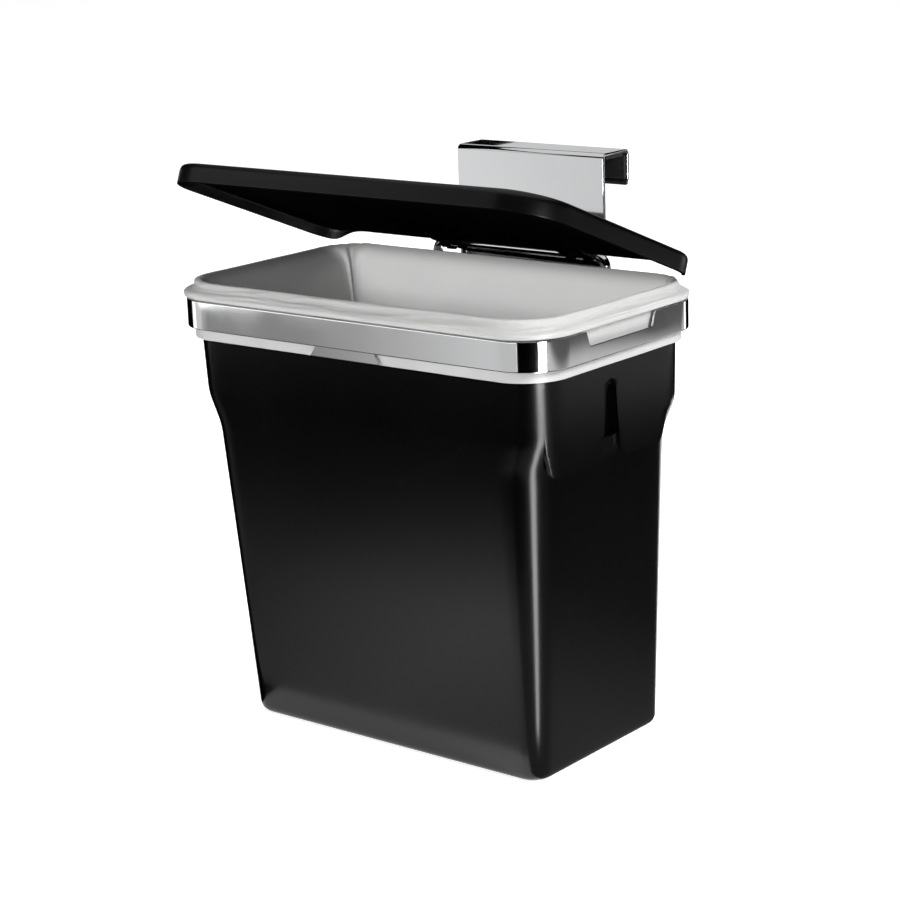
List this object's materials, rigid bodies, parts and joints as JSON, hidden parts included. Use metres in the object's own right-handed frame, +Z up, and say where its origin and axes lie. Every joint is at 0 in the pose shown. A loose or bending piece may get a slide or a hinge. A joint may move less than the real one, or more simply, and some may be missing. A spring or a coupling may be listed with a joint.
{
  "type": "over-door waste bin",
  "caption": "Slim black waste bin with a bag liner in a polished steel band, hung on a bent door hook, with a shallow hinged lid drawn partly open.",
  "frame": {"origin": "on the floor plane under the middle of the steel band, at the centre of the bucket's base plane", "axes": "+X along the band to the right seen from the front, -Y the front, +Y towards the door the hook hangs on, +Z up"},
  "size_m": [0.2916, 0.217, 0.36],
  "materials": {
    "bucket_plastic": "fine grained",
    "lid_plastic": "satin",
    "liner_film": "thin translucent film",
    "polished_steel": "polished",
    "foam": "closed-cell foam"
  },
  "bodies": {
    "bin": {"bucket": "bucket_plastic", "bag_liner": "liner_film", "frame_band": "polished_steel", "hinge_rod": "polished_steel", "hook_bracket": "polished_steel", "pad_plate": "foam", "pad_leg": "foam", "pad_bridge": "foam", "rivet_left": "polished_steel", "rivet_middle": "polished_steel", "rivet_right": "polished_steel"},
    "lid": {"lid": "lid_plastic"}
  },
  "joints": [
    {"name": "lid_hinge", "type": "hinge", "parent": "bin", "child": "lid", "pos_m": [0, 0.0891, 0.2916], "axis": [-1, 0, 0], "range_deg": [-21.5, 76]}
  ]
}
